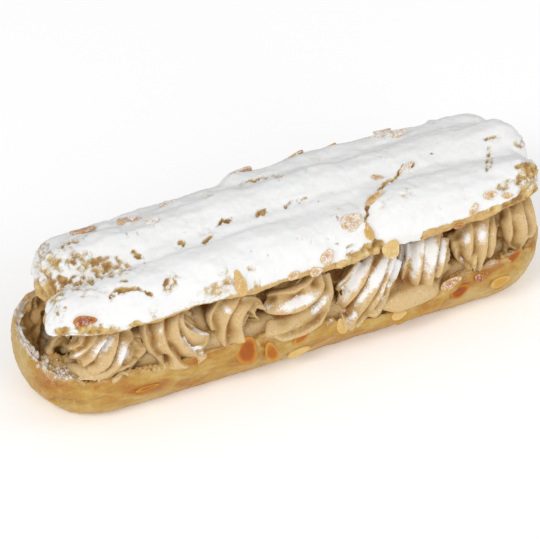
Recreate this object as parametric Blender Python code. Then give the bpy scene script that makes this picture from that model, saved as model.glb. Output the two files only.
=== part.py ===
"""Finger-shaped paris-brest: a split choux bun with piped praline cream and a flaked-almond lid.

Metres, +Z up. X runs along the bun, the open front faces -Y, and the bun stands on z = 0.
"""

import math
import random

import bmesh
import bpy
from mathutils import Matrix, Vector, noise
from mathutils.bvhtree import BVHTree

MM = 0.001

# Driving sizes
LENGTH = 159 * MM  # of the bottom half; the lid reaches a little past it on the right
WIDTH = 44 * MM
CREAM_TOP = 32 * MM
LID_EDGE = 29.3 * MM
GAP = 0.5 * MM  # a swollen copy's offset, which leaves about 0.3 mm at its edges
SLIVER = 0.02 * MM  # shorter edges are closed up


# ---------------------------------------------------------------- shared tools


def clear_scene():
    for old in list(bpy.data.objects):
        bpy.data.objects.remove(old)


def plain_material(name, colour, roughness):
    material = bpy.data.materials.new(name)
    material.use_nodes = True
    shader = material.node_tree.nodes["Principled BSDF"]
    shader.inputs["Base Color"].default_value = (*colour, 1)
    shader.inputs["Roughness"].default_value = roughness
    shader.inputs["Metallic"].default_value = 0
    return material


def lump(point, wavelength, depth, seed):
    """A smooth bump or dent of up to about depth, repeating at about the wavelength."""
    return depth * noise.noise(Vector(point) / wavelength + Vector((seed, 0.37 * seed, 0)))


def new_object(name, mesh_data):
    obj = bpy.data.objects.new(name, mesh_data)
    bpy.context.scene.collection.objects.link(obj)
    return obj


def loft(name, rings, tips=None):
    """A closed skin through rings of equal count, each end closed flat or, with tips, to a point."""
    mesh = bmesh.new()
    rows = [[mesh.verts.new(p) for p in ring] for ring in rings]
    around = len(rows[0])
    for first, second in zip(rows, rows[1:]):
        for i in range(around):
            j = (i + 1) % around
            mesh.faces.new((first[i], first[j], second[j], second[i]))
    if tips:
        for row, tip in ((rows[0], tips[0]), (rows[-1], tips[1])):
            point = mesh.verts.new(tip)
            for i in range(around):
                mesh.faces.new((row[i], row[(i + 1) % around], point))
    else:
        mesh.faces.new(rows[0])
        mesh.faces.new(rows[-1])
    bmesh.ops.recalc_face_normals(mesh, faces=mesh.faces)
    data = bpy.data.meshes.new(name)
    mesh.to_mesh(data)
    mesh.free()
    return new_object(name, data)


def apply_modifiers(obj):
    graph = bpy.context.evaluated_depsgraph_get()
    baked = bpy.data.meshes.new_from_object(obj.evaluated_get(graph))
    obj.modifiers.clear()
    obj.data = baked


def keep_largest_body(obj):
    """Closes hair-thin leftovers of a cut and drops the scraps that it leaves loose."""
    mesh = bmesh.new()
    mesh.from_mesh(obj.data)
    bmesh.ops.remove_doubles(mesh, verts=mesh.verts, dist=SLIVER)
    bmesh.ops.dissolve_degenerate(mesh, edges=mesh.edges, dist=SLIVER)
    bmesh.ops.triangulate(mesh, faces=mesh.faces)
    unseen, bodies = set(mesh.faces), []
    while unseen:
        todo = [unseen.pop()]
        body = list(todo)
        while todo:
            for edge in todo.pop().edges:
                for face in edge.link_faces:
                    if face in unseen:
                        unseen.remove(face)
                        body.append(face)
                        todo.append(face)
        bodies.append(body)
    largest = set(max(bodies, key=len))
    loose = [face for face in mesh.faces if face not in largest]
    bmesh.ops.delete(mesh, geom=loose, context="FACES")
    mesh.to_mesh(obj.data)
    mesh.free()


def boolean(obj, others, operation):
    """Joins a list of solids to obj, or cuts them from it, removes them and clears obj of scraps."""
    helpers = bpy.data.collections.new("helpers")
    for other in others:
        helpers.objects.link(other)
    modifier = obj.modifiers.new(operation.lower(), "BOOLEAN")
    modifier.operation = operation
    modifier.solver = "MANIFOLD"
    modifier.operand_type = "COLLECTION"
    modifier.collection = helpers
    apply_modifiers(obj)
    for other in others:
        bpy.data.objects.remove(other)
    bpy.data.collections.remove(helpers)
    keep_largest_body(obj)


def swollen_copy(obj):
    """A copy whose skin stands GAP outside the original, for cutting a neighbour clear of it."""
    copy = new_object(obj.name + "_swollen", obj.data.copy())
    mesh = bmesh.new()
    mesh.from_mesh(copy.data)
    mesh.normal_update()
    moves = [(v, v.normal * GAP) for v in mesh.verts]
    for vertex, move in moves:
        vertex.co += move
    mesh.to_mesh(copy.data)
    mesh.free()
    return copy


# ---------------------------------------------------------------- bottom half

BASE_STEPS = 76  # points round the outline
BASE_MIDDLE = 0.5 * MM
BASE_END = 20 * MM  # how long each rounded end is
BASE_END_POWER = 2.2  # 2 is an ellipse, more is squarer
BASE_BELLY = 0.7 * MM  # how far the long sides swell at mid length
BASE_TUCK = 1.1 * MM  # how far the underside draws in towards the right end
RIM_HEIGHT = 18.6 * MM  # on the middle line; the cut slopes down to the open front
RIM_SLOPE = 0.16
RIM_DIP = 4.6 * MM  # where the cream has run over the front rim
RIM_DIP_MIDDLE = 24 * MM
RIM_DIP_HALF_LENGTH = 19 * MM
FLOOR_HEIGHT = 7 * MM


def smooth_step(share):
    share = max(0, min(1, share))
    return share * share * (3 - 2 * share)


def outline_points(count):
    """Evenly spaced points round the plan: straight long sides between two rounded ends."""
    half_straight = LENGTH / 2 - BASE_END
    dense = []
    for side in (1, -1):
        for i in range(200):
            turn = side * math.pi * (i / 200 - 0.5)
            along, across = math.cos(turn), math.sin(turn)
            power = 2 / BASE_END_POWER
            x = half_straight + BASE_END * abs(along) ** power
            y = WIDTH / 2 * math.copysign(abs(across) ** power, across)
            dense.append(Vector((side * x + BASE_MIDDLE, y, 0)))
    dense.append(dense[0])
    lengths = [(b - a).length for a, b in zip(dense, dense[1:])]
    spacing = sum(lengths) / count
    points, walked = [], 0
    for a, b, length in zip(dense, dense[1:], lengths):
        while len(points) * spacing < walked + length and len(points) < count:
            points.append(a.lerp(b, (len(points) * spacing - walked) / length))
        walked += length
    return points


def rim_height(point):
    ragged = lump(point, 7 * MM, 0.9 * MM, 3)
    off = abs(point.x - RIM_DIP_MIDDLE) / RIM_DIP_HALF_LENGTH
    dip = RIM_DIP * smooth_step(2.2 - 2 * off) * smooth_step(-point.y / (WIDTH / 2))
    return RIM_HEIGHT + RIM_SLOPE * point.y + ragged - dip


def base_profile(rim, tuck):
    """(inset, height, how lumpy the crust is) from the bottom's middle over the rim to the floor."""
    return (
        (17.5 * MM, 0, 0),
        (9.0 * MM + tuck, 0, 0),
        (5.6 * MM + tuck, 1.2 * MM, 0.5),
        (2.2 * MM + 0.7 * tuck, 4.8 * MM, 1),
        (0.4 * MM, 0.45 * rim + 2 * MM, 1),
        (0.0 * MM, 0.78 * rim + 1 * MM, 1),
        (1.1 * MM, rim, 0.6),
        (3.8 * MM, rim - 0.3 * MM, 0.6),
        (5.0 * MM, 0.5 * rim + 5 * MM, 0.6),
        (8.0 * MM, FLOOR_HEIGHT + 0.8 * MM, 0.3),
        (16.5 * MM, FLOOR_HEIGHT, 0),
    )


def base_body():
    outline = outline_points(BASE_STEPS)
    columns = []
    for i, edge in enumerate(outline):
        ahead = outline[(i + 1) % BASE_STEPS] - outline[i - 1]
        outward = Vector((ahead.y, -ahead.x, 0)).normalized()
        share = edge.x / (LENGTH / 2)
        edge = edge + outward * BASE_BELLY * (1 - share**2)
        tuck = BASE_TUCK * smooth_step(0.5 + share)
        column = []
        for inset, height, lumpy in base_profile(rim_height(edge), tuck):
            point = edge - outward * inset
            point.z = height
            crust = lump(point, 16 * MM, 1.0 * MM, 11) + lump(point, 6 * MM, 0.35 * MM, 5)
            column.append(point + outward * crust * lumpy)
        columns.append(column)
    return loft("choux_base", [list(ring) for ring in zip(*columns)])


# ---------------------------------------------------------------- lid

# Each piped strand: from x, to x, y and z of its middle line, half width, half height
STRANDS = (
    (-78.5, 25, -12.8, 32.5, 9.2, 10.2),
    (16, 77.6, -12.2, 34.6, 9.4, 9.6),
    (-52, 76, -5.2, 34.4, 8.6, 8.9),
    (-73.2, 79.6, 1.8, 36.2, 9.4, 10.6),
    (-64, 74, 7.6, 34.4, 7.6, 10.0),
    (-69, 0, 12.6, 31.6, 8.6, 10.2),
    (-12, 77, 13.4, 33.0, 8.6, 11.0),
)
STRAND_END = 8 * MM  # length of a strand's blunt nose
STRAND_BOW = 2.0 * MM  # how far the ends droop
STRAND_SIDES = 14
STRAND_SPACING = 7 * MM
NOSE_TURNS = (25, 50, 72)  # degrees round the nose at which it has a ring
LID_BUMPS = 1.3 * MM
UNDERSIDE_RISE = 1.4 * MM  # towards the right end
UNDERSIDE_DOME = 1.6 * MM
UNDERSIDE_WAVE = 1.2 * MM


def strand_stations(start, end):
    """(x, share of the full radius) along a strand with round ends."""
    nose = [
        (STRAND_END * (1 - math.cos(math.radians(t))), math.sin(math.radians(t)))
        for t in NOSE_TURNS
    ]
    straight = end - start - 2 * STRAND_END
    count = max(2, round(straight / STRAND_SPACING))
    body = [(start + STRAND_END + straight * i / count, 1) for i in range(count + 1)]
    return (
        [(start + x, share) for x, share in nose]
        + body
        + [(end - x, share) for x, share in reversed(nose)]
    )


def droop(x):
    return STRAND_BOW * (x / (LENGTH / 2)) ** 2


def strand(index, start, end, y, z, half_width, half_height):
    rings = []
    for x, share in strand_stations(start, end):
        ring = []
        for i in range(STRAND_SIDES):
            turn = math.tau * i / STRAND_SIDES
            out = Vector((0, math.cos(turn), math.sin(turn)))
            point = Vector(
                (x, y + out.y * half_width * share, z - droop(x) + out.z * half_height * share)
            )
            bump = lump(point, 11 * MM, LID_BUMPS, 7 + index) + lump(point, 5 * MM, 0.5 * MM, 2)
            ring.append(point + out * bump * share)
        rings.append(ring)
    tips = [Vector((x, y, z - droop(x))) for x in (start, end)]
    return loft(f"strand_{index}", rings, tips)


def underside_height(x, y):
    dome = UNDERSIDE_DOME * max(0, 1 - (y / (WIDTH / 2)) ** 2)
    rise = UNDERSIDE_RISE * smooth_step(x / (LENGTH / 2))
    return LID_EDGE + dome + rise + lump((x, y, 0), 12 * MM, UNDERSIDE_WAVE, 21)


def underside_cutter():
    """A block whose wavy, slightly domed top is the surface that the lid rests on the cream with."""
    across, along = 10, 36
    half_x, half_y = LENGTH / 2 + 10 * MM, WIDTH / 2 + 8 * MM
    grid = bmesh.new()
    top, bottom = [], []
    for i in range(along + 1):
        for j in range(across + 1):
            x = half_x * (2 * i / along - 1)
            y = half_y * (2 * j / across - 1)
            top.append(grid.verts.new((x, y, underside_height(x, y))))
            bottom.append(grid.verts.new((x, y, 0)))
    row = across + 1
    for i in range(along):
        for j in range(across):
            a = i * row + j
            corners = (a, a + row, a + row + 1, a + 1)
            grid.faces.new([top[k] for k in corners])
            grid.faces.new([bottom[k] for k in reversed(corners)])
    border = (
        [i * row for i in range(along)]
        + [along * row + j for j in range(across)]
        + [i * row + across for i in range(along, 0, -1)]
        + [j for j in range(across, 0, -1)]
    )
    for a, b in zip(border, border[1:] + border[:1]):
        grid.faces.new((top[a], bottom[a], bottom[b], top[b]))
    bmesh.ops.recalc_face_normals(grid, faces=grid.faces)
    data = bpy.data.meshes.new("underside")
    grid.to_mesh(data)
    grid.free()
    return new_object("underside", data)


def lid_body():
    strands = []
    for index, sizes in enumerate(STRANDS):
        strands.append(strand(index, *(size * MM for size in sizes)))
    lid = strands[0]
    boolean(lid, strands[1:], "UNION")
    boolean(lid, [underside_cutter()], "DIFFERENCE")
    lid.name = "choux_lid"
    return lid


# ---------------------------------------------------------------- almond flakes

FLAKE_SIDES = 8
FLAKE_THICKNESS = 1.2 * MM
FLAKE_SUNK = 0.2 * MM  # how far below the skin the flake's middle plane lies
LID_AXIS_HEIGHT = 31 * MM  # the lid's flakes are spread round this line
BASE_AXIS_HEIGHT = 12 * MM

# (x, height, half length, half width, lean in degrees) on the front of the bottom half
BASE_FLAKES = (
    (-51.3, 9.3, 4.6, 1.8, 15),
    (-19.7, 11.3, 4.6, 3.2, 80),
    (-16.0, 14.6, 2.6, 1.5, 8),
    (-13.2, 9.8, 4.0, 2.0, 118),
    (-3.8, 11.1, 3.4, 1.2, 35),
    (-2.8, 5.1, 4.2, 1.8, 22),
    (9.2, 9.0, 2.6, 1.8, 100),
    (27.8, 7.4, 3.2, 1.8, 20),
    (44.2, 13.2, 3.8, 2.0, 28),
    (47.5, 9.6, 4.0, 2.6, 45),
    (53.5, 12.6, 1.7, 1.3, 0),
    (60.1, 9.0, 3.4, 1.8, 28),
    (66.6, 14.4, 4.2, 1.6, 50),
)

# (x, angle up from the front in degrees, half length, half width, lean) on the lid
LID_FLAKES = (
    (-70.0, 12, 3.5, 1.5, 8),
    (-40.3, 127, 2.4, 1.6, 20),
    (-37.2, 96, 1.9, 1.3, 60),
    (-22.0, 8, 3.6, 1.7, 102),
    (-5.2, 3, 1.9, 1.5, 60),
    (1.5, 3, 2.0, 1.5, 30),
    (5.0, 9, 2.0, 1.6, 70),
    (14.2, 0, 1.8, 1.2, 20),
    (15.7, 29, 3.2, 2.5, 20),
    (19.5, 18, 2.8, 1.4, 105),
    (26.1, 0, 2.7, 2.3, 60),
    (30.1, 16, 2.2, 1.4, 60),
    (30.1, 67, 1.8, 0.9, 0),
    (24.7, 42, 3.2, 1.2, 50),
    (39.7, 69, 3.0, 1.2, 40),
    (42.5, 133, 6.2, 2.2, 2),
    (52.5, 12, 1.5, 1.1, 70),
    (56.5, 18, 1.9, 1.3, 0),
    (63.1, 15, 1.6, 0.9, 0),
)
BACK_FLAKE_SPACING = 14 * MM  # along the back of each half
BACK_SEED = 5


def almond_flake(name, half_length, half_width):
    """A thin almond slice, pointed at one end, lying flat at the origin."""
    top, bottom = [], []
    for i in range(FLAKE_SIDES):
        turn = math.tau * i / FLAKE_SIDES
        x = half_length * math.cos(turn)
        y = half_width * math.sin(turn) * (1 - 0.25 * math.cos(turn))
        top.append(Vector((x * 0.88, y * 0.88, FLAKE_THICKNESS / 2)))
        bottom.append(Vector((x, y, -FLAKE_THICKNESS / 2)))
    return loft(name, [bottom, top])


def stuck_flakes(body, rays):
    """Flakes pressed onto the body where each ray meets it."""
    skin = BVHTree.FromObject(body, bpy.context.evaluated_depsgraph_get())
    flakes = []
    for origin, direction, half_length, half_width, lean in rays:
        spot, normal, _, _ = skin.ray_cast(origin, direction)
        if spot is None:
            continue
        flake = almond_flake("flake", half_length * MM, half_width * MM)
        turn = normal.to_track_quat("Z", "Y").to_matrix().to_4x4()
        spin = Matrix.Rotation(math.radians(lean), 4, "Z")
        flake.data.transform(Matrix.Translation(spot - normal * FLAKE_SUNK) @ turn @ spin)
        flakes.append(flake)
    return flakes


def back_rays(axis_height, lowest, highest, seed):
    """Seeded spots along the back: (origin, direction, half length, half width, lean)."""
    chance = random.Random(seed)
    count = int((LENGTH - 24 * MM) / BACK_FLAKE_SPACING)
    rays = []
    for i in range(count):
        x = (i + 0.5 - count / 2) * BACK_FLAKE_SPACING + chance.uniform(-3, 3) * MM
        angle = math.radians(chance.uniform(lowest, highest))
        out = Vector((0, math.cos(angle), math.sin(angle)))
        size = chance.uniform(2.4, 4.2)
        shape = (size, size * chance.uniform(0.45, 0.65), chance.uniform(0, 180))
        rays.append((Vector((x, 0, axis_height)) + out * WIDTH, -out, *shape))
    return rays


def base_flakes(base):
    rays = back_rays(BASE_AXIS_HEIGHT, -20, 15, BACK_SEED + 1)
    for x, height, half_length, half_width, lean in BASE_FLAKES:
        origin = Vector((x * MM, -WIDTH, height * MM))
        rays.append((origin, Vector((0, 1, 0)), half_length, half_width, lean))
    return stuck_flakes(base, rays)


def lid_flakes(lid):
    rays = back_rays(LID_AXIS_HEIGHT, 15, 60, BACK_SEED)
    for x, angle, half_length, half_width, lean in LID_FLAKES:
        angle = math.radians(angle)
        out = Vector((0, -math.cos(angle), math.sin(angle)))
        origin = Vector((x * MM, 0, LID_AXIS_HEIGHT)) + out * WIDTH
        rays.append((origin, -out, half_length, half_width, lean))
    return stuck_flakes(lid, rays)


# ---------------------------------------------------------------- cream

ROPE_RIDGES = 10
RIDGE_SHAPE = ((0.0, 0.74), (0.3, 0.97), (0.64, 1.0))  # (share of a ridge, share of the radius)
ROPE_RINGS = 12
CREAM_BACK = 19.5 * MM  # where the loops end at the back

# Each loop of the piped rope: x where it comes out from under the lid, x of its foot, radius,
# how far it stands out at the front, and height of its foot
LOOPS = (
    (-59, -66, 11.6, 21.8, 13.2),
    (-45, -35.5, 10.2, 24.0, 12.0),
    (-21.5, -26, 9.7, 22.8, 15.0),
    (4, -11, 9.8, 24.2, 11.6),
    (24, 13, 9.8, 24.8, 10.0),
    (40, 36, 9.6, 24.2, 10.4),
    (56, 53, 9.2, 22.8, 15.2),
    (68, 66.5, 9.4, 20.6, 16.4),
)


def curve_point(stations, share):
    """A smooth (Catmull-Rom) curve through the stations, at a share of its way."""
    spans = len(stations) - 1
    span = min(int(share * spans), spans - 1)
    t = share * spans - span
    ends = [stations[max(0, min(spans, span + k))] for k in (-1, 0, 1, 2)]
    a, b, c, d = (Vector(p) for p in ends)
    return 0.5 * (
        2 * b + (c - a) * t + (2 * a - 5 * b + 4 * c - d) * t**2 + (3 * b - a - 3 * c + d) * t**3
    )


def loop_route(x_top, x_foot, radius, reach, foot):
    """The rope's middle line, from its foot at the front, over the top, to the back."""
    front = -(reach - radius)
    crown = CREAM_TOP - radius
    x_mid = 0.45 * x_top + 0.55 * x_foot
    return (
        (x_foot, front + 1.5 * MM, foot + 0.35 * radius),
        (x_mid, front, 0.5 * (foot + crown) + 2.2 * MM),
        (0.9 * x_top + 0.1 * x_foot, 0.72 * front, crown - 0.2 * MM),
        (x_top, 0, crown),
        (x_top, 0.6 * (CREAM_BACK - radius), crown - 0.5 * MM),
        (x_top, CREAM_BACK - radius, crown - 5 * MM),
    )


def rope_section(radius, twist):
    """Points round the rope: rounded ridges with sharp grooves between them, as a star nozzle leaves."""
    points = []
    for ridge in range(ROPE_RIDGES):
        for share, reach in RIDGE_SHAPE:
            turn = math.tau * (ridge + share) / ROPE_RIDGES + twist
            points.append((radius * reach * math.cos(turn), radius * reach * math.sin(turn)))
    return points


def loop(index, x_top, x_foot, radius, reach, foot):
    route = loop_route(x_top, x_foot, radius, reach, foot)
    rings = []
    side = Vector((1, 0, 0))
    for i in range(ROPE_RINGS):
        share = i / (ROPE_RINGS - 1)
        middle = curve_point(route, share)
        ahead = curve_point(route, min(1, share + 0.02)) - curve_point(route, max(0, share - 0.02))
        ahead.normalize()
        side = (side - ahead * side.dot(ahead)).normalized()
        up = ahead.cross(side)
        foot_taper = math.sqrt(min(1, 0.16 + share / 0.26))
        back_taper = math.sqrt(min(1, 0.2 + (1 - share) / 0.2))
        section = rope_section(radius * foot_taper * back_taper, 0.5 * share + index)
        rings.append([middle + side * a + up * b for a, b in section])
    tips = (
        curve_point(route, 0) - (curve_point(route, 0.05) - curve_point(route, 0)) * 0.9,
        curve_point(route, 1) + (curve_point(route, 1) - curve_point(route, 0.95)) * 0.9,
    )
    return loft(f"loop_{index}", rings, tips)


# Where the cream has spread over the front rim: x, y, z of its middle, and half sizes along x, y, z
SMEARS = (
    (30, -18.5, 13.0, 15, 5.4, 5.6),
    (-61.5, -17.0, 16.4, 11.5, 4.6, 4.2),
)
SMEAR_SIDES = 12


def smear(index, x, y, z, half_x, half_y, half_z):
    rings = []
    for i in range(1, SMEAR_SIDES // 2):
        along = math.pi * i / (SMEAR_SIDES // 2)
        ring = []
        for j in range(SMEAR_SIDES):
            turn = math.tau * j / SMEAR_SIDES
            ring.append(
                Vector(
                    (
                        x - half_x * math.cos(along),
                        y + half_y * math.sin(along) * math.cos(turn),
                        z + half_z * math.sin(along) * math.sin(turn),
                    )
                )
            )
        rings.append(ring)
    return loft(f"smear_{index}", rings, (Vector((x - half_x, y, z)), Vector((x + half_x, y, z))))


def cream_core():
    """The bed of cream that fills the hollow and carries the loops."""
    start, end, end_length, steps = -67 * MM, 72 * MM, 16 * MM, 24
    half_width, lowest, highest = 16 * MM, 4 * MM, 26 * MM
    rings = []
    for i in range(steps + 1):
        x = start + (end - start) * i / steps
        inside = min(1, (x - start) / end_length + 0.05, (end - x) / end_length + 0.05)
        half = half_width * math.sqrt(1 - (1 - inside) ** 2)
        rings.append(
            [
                Vector((x, -half, lowest)),
                Vector((x, half, lowest)),
                Vector((x, half, highest - 2 * MM)),
                Vector((x, 0.6 * half, highest)),
                Vector((x, -0.6 * half, highest)),
                Vector((x, -half, highest - 5 * MM)),
            ]
        )
    return loft("praline_cream", rings)


def cream_body(base, lid):
    loops = []
    for index, sizes in enumerate(LOOPS):
        loops.append(loop(index, *(size * MM for size in sizes)))
    smears = []
    for index, sizes in enumerate(SMEARS):
        smears.append(smear(index, *(size * MM for size in sizes)))
    cream = cream_core()
    boolean(cream, loops + smears, "UNION")
    boolean(cream, [swollen_copy(base)], "DIFFERENCE")
    boolean(cream, [swollen_copy(lid)], "DIFFERENCE")
    return cream


def stand_on_origin(objects):
    """Centres the whole on the Z axis with its underside on z = 0."""
    corners = [v.co for obj in objects for v in obj.data.vertices]
    low = Vector(min(c[i] for c in corners) for i in range(3))
    high = Vector(max(c[i] for c in corners) for i in range(3))
    middle = (low + high) / 2
    for obj in objects:
        obj.data.transform(Matrix.Translation((-middle.x, -middle.y, -low.z)))


def build():
    clear_scene()
    base = base_body()
    boolean(base, base_flakes(base), "UNION")
    lid = lid_body()
    boolean(lid, lid_flakes(lid), "UNION")
    cream = cream_body(base, lid)
    stand_on_origin((base, lid, cream))
    looks = {
        base: plain_material("baked_choux", (0.62, 0.38, 0.14), 0.55),
        lid: plain_material("sugared_choux", (0.9, 0.88, 0.84), 0.9),
        cream: plain_material("praline_cream", (0.66, 0.46, 0.24), 0.5),
    }
    for obj, material in looks.items():
        obj.data.materials.clear()
        obj.data.materials.append(material)
        obj.data.shade_smooth()
        obj.data.set_sharp_from_angle(angle=math.radians(40))


build()
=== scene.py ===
"""Looks of a finger-shaped paris-brest: a split choux bun, piped praline cream and a sugared lid."""

import itertools
import math
import random

import bpy
import numpy as np
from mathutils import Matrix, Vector
from mathutils.bvhtree import BVHTree


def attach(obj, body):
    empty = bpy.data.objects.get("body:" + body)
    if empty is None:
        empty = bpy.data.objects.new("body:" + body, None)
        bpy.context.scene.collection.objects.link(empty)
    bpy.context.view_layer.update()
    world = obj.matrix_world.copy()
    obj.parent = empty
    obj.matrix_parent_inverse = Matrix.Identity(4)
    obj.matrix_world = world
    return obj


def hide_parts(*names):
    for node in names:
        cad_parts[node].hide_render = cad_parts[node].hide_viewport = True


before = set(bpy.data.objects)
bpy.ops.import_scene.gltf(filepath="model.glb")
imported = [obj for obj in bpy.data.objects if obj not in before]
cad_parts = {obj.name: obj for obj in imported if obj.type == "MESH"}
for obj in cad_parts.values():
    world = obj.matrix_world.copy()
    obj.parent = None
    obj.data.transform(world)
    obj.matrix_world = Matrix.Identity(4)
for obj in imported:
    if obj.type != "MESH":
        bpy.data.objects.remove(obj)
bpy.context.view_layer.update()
MM = 0.001

# ---------------------------------------------------------------- table, light and camera
# The pastry lies on a plain pale table under broad soft lights. The camera looks down at its open
# front from the left through a long lens. Spots on the pastry are given as (across, down) in a
# view that is 540 wide, and each one is found on the surface that shows there.

VIEW_SIZE = 540
LENS, SENSOR = 384.0, 36.0
FOCAL = VIEW_SIZE * LENS / SENSOR
AZIMUTH, ELEVATION = math.radians(-28.5), math.radians(33)
CAMERA_DISTANCE = 1.6
LOOK = Vector((-2.16, 1.26, 19.42)) * MM
LIGHT_DISTANCE = 2.0


def way_out(azimuth, elevation):
    """The direction out from the pastry; at 0, 0 it is straight out from the open front."""
    level = math.cos(elevation)
    return Vector((math.sin(azimuth) * level, -math.cos(azimuth) * level, math.sin(elevation)))


BACK = way_out(AZIMUTH, ELEVATION)
RIGHT = Vector((math.cos(AZIMUTH), math.sin(AZIMUTH), 0))
UP = BACK.cross(RIGHT)
CAMERA_AT = LOOK + BACK * CAMERA_DISTANCE

bpy.ops.object.camera_add(location=CAMERA_AT, rotation=(-BACK).to_track_quat("-Z", "Y").to_euler())
camera = bpy.context.object
camera.name = "camera"
camera.data.lens = LENS
camera.data.sensor_width = SENSOR
camera.data.clip_start, camera.data.clip_end = 0.05, 20
bpy.context.scene.camera = camera


def set_values(node, **values):
    """Sets a node's own inputs."""
    for name, value in values.items():
        node.inputs[name.replace("_", " ")].default_value = value


bpy.context.scene.view_settings.view_transform = "Standard"
world = bpy.data.worlds.new("studio")
world.use_nodes = True
set_values(world.node_tree.nodes["Background"], Color=(0.99, 0.99, 1.0, 1), Strength=0.53)
bpy.context.scene.world = world


def soft_light(name, azimuth, elevation, size, power):
    """A square soft box that faces the pastry, at angles in degrees."""
    out = way_out(math.radians(azimuth), math.radians(elevation))
    turned = out.to_track_quat("Z", "Y").to_euler()
    bpy.ops.object.light_add(type="AREA", location=out * LIGHT_DISTANCE, rotation=turned)
    light = bpy.context.object
    light.name = name
    light.data.size = size
    light.data.energy = power


soft_light("key_box", -56, 38, 0.8, 15)
soft_light("front_box", 0, 28, 1.0, 6.5)
soft_light("right_box", 60, 30, 0.9, 5)


def shader_of(name):
    """A new material, its node tree and its surface shader."""
    material = bpy.data.materials.new(name)
    material.use_nodes = True
    return material, material.node_tree, material.node_tree.nodes["Principled BSDF"]


def add(tree, kind, _settings=None, **inputs):
    """A node with its settings, and its inputs set by value or linked from another node's output."""
    node = tree.nodes.new("ShaderNode" + kind)
    for key, value in (_settings or {}).items():
        setattr(node, key, value)
    for key, value in inputs.items():
        key = int(key[1:]) if key[0] == "i" and key[1:].isdigit() else key.replace("_", " ")
        if isinstance(value, bpy.types.NodeSocket):
            tree.links.new(value, node.inputs[key])
        else:
            node.inputs[key].default_value = value
    return node


def mixed(tree, share, low, high):
    """A colour between two others: low where the share is 0, high where it is 1."""
    return add(tree, "Mix", {"data_type": "RGBA"}, Factor=share, i6=low, i7=high).outputs[2]


bpy.ops.mesh.primitive_plane_add(size=6)
table = bpy.context.object
table.name = "table"
table_look, tree, shader = shader_of("pale_table")
grain = add(tree, "TexNoise", Scale=40, Detail=3).outputs["Fac"]
shades = mixed(tree, grain, (0.95, 0.95, 0.95, 1), (0.97, 0.97, 0.97, 1))
tree.links.new(shades, shader.inputs["Base Color"])
set_values(shader, Roughness=0.8, Emission_Color=(1, 1, 1, 1), Emission_Strength=0.2)
table.data.materials.append(table_look)

# ---------------------------------------------------------------- bottom half of the bun
# A finger of choux pastry, egg-washed and baked golden, then cut along its middle. Its crust is
# thin, smooth and slightly wrinkled; the cut shows a soft crumb of torn bubbles.

BASE_VOXEL = 0.53 * MM


def only(obj):
    """Leaves obj alone selected and active."""
    bpy.ops.object.select_all(action="DESELECT")
    obj.select_set(True)
    bpy.context.view_layer.objects.active = obj


def worked(obj, kind, **settings):
    """Runs one modifier on obj and applies it."""
    only(obj)
    modifier = obj.modifiers.new(kind.lower(), kind)
    for key, value in settings.items():
        setattr(modifier, key, value)
    bpy.ops.object.modifier_apply(modifier=modifier.name)


def new_piece(name, data):
    """An object in the scene around a mesh or a curve."""
    obj = bpy.data.objects.new(name, data)
    bpy.context.scene.collection.objects.link(obj)
    return obj


def pastry_from(node, name, voxel, smooth_rounds):
    """A fine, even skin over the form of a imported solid."""
    obj = new_piece(name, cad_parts[node].data.copy())
    only(obj)
    bpy.ops.object.mode_set(mode="EDIT")
    bpy.ops.mesh.select_all(action="SELECT")
    bpy.ops.mesh.remove_doubles(threshold=1e-5)
    bpy.ops.object.mode_set(mode="OBJECT")
    obj.data.materials.clear()
    worked(obj, "REMESH", mode="VOXEL", voxel_size=voxel)
    worked(obj, "SMOOTH", factor=0.5, iterations=smooth_rounds)
    return obj


def skin_of(obj):
    """The points of a piece and their normals."""
    count = len(obj.data.vertices)
    points, normals = np.empty(count * 3), np.empty(count * 3)
    obj.data.vertices.foreach_get("co", points)
    obj.data.vertices.foreach_get("normal", normals)
    return points.reshape(-1, 3), normals.reshape(-1, 3)


def reshape(obj, points):
    """Moves the points of a piece."""
    obj.data.vertices.foreach_set("co", points.ravel())
    obj.data.update()


def store(obj, name, values):
    """Keeps one number for each point of a piece, which its material reads."""
    attribute = obj.data.attributes.new(name, "FLOAT", "POINT")
    attribute.data.foreach_set("value", np.asarray(values, dtype=np.float32))


def in_view(points):
    """Where points show in the view: across, down."""
    offset = points - np.array(CAMERA_AT)
    depth = -(offset @ np.array(BACK))
    across = VIEW_SIZE / 2 + FOCAL * (offset @ np.array(RIGHT)) / depth
    down = VIEW_SIZE / 2 - FOCAL * (offset @ np.array(UP)) / depth
    return across, down


def chance_at(cells, seed):
    """A number between 0 and 1 for each cell of a grid, the same at each run."""
    mixed = cells[..., 0] * 73856093 ^ cells[..., 1] * 19349663 ^ cells[..., 2] * 83492791
    mixed = (mixed ^ seed * 2654435761) & 0xFFFFFFFF
    mixed = ((mixed ^ (mixed >> 13)) * 1274126177) & 0xFFFFFFFF
    return ((mixed ^ (mixed >> 16)) & 0xFFFF) / 0xFFFF


def lumps(points, wavelength, seed, stretch=(1, 1, 1)):
    """Smooth bumps and dents between -1 and 1."""
    place = points * np.array(stretch) / wavelength + 0.37 * seed
    cell = np.floor(place).astype(np.int64)
    share = place - cell
    share = share * share * (3 - 2 * share)
    total = np.zeros(len(points))
    for corner in itertools.product((0, 1), repeat=3):
        corner = np.array(corner)
        weight = np.prod(np.where(corner, share, 1 - share), axis=1)
        total += weight * chance_at(cell + corner, seed)
    return 2 * total - 1


def rough(points, wavelength, seed, stretch=(1, 1, 1)):
    """Lumps with finer lumps on them, between about -1 and 1."""
    turned = points @ np.array(((0.8, 0.6, 0), (-0.48, 0.64, 0.6), (0.36, -0.48, 0.8)))
    return (
        lumps(points, wavelength, seed, stretch)
        + 0.55 * lumps(turned, wavelength * 0.47, seed + 1)
        + 0.3 * lumps(points, wavelength * 0.23, seed + 2)
    ) / 1.5


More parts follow.
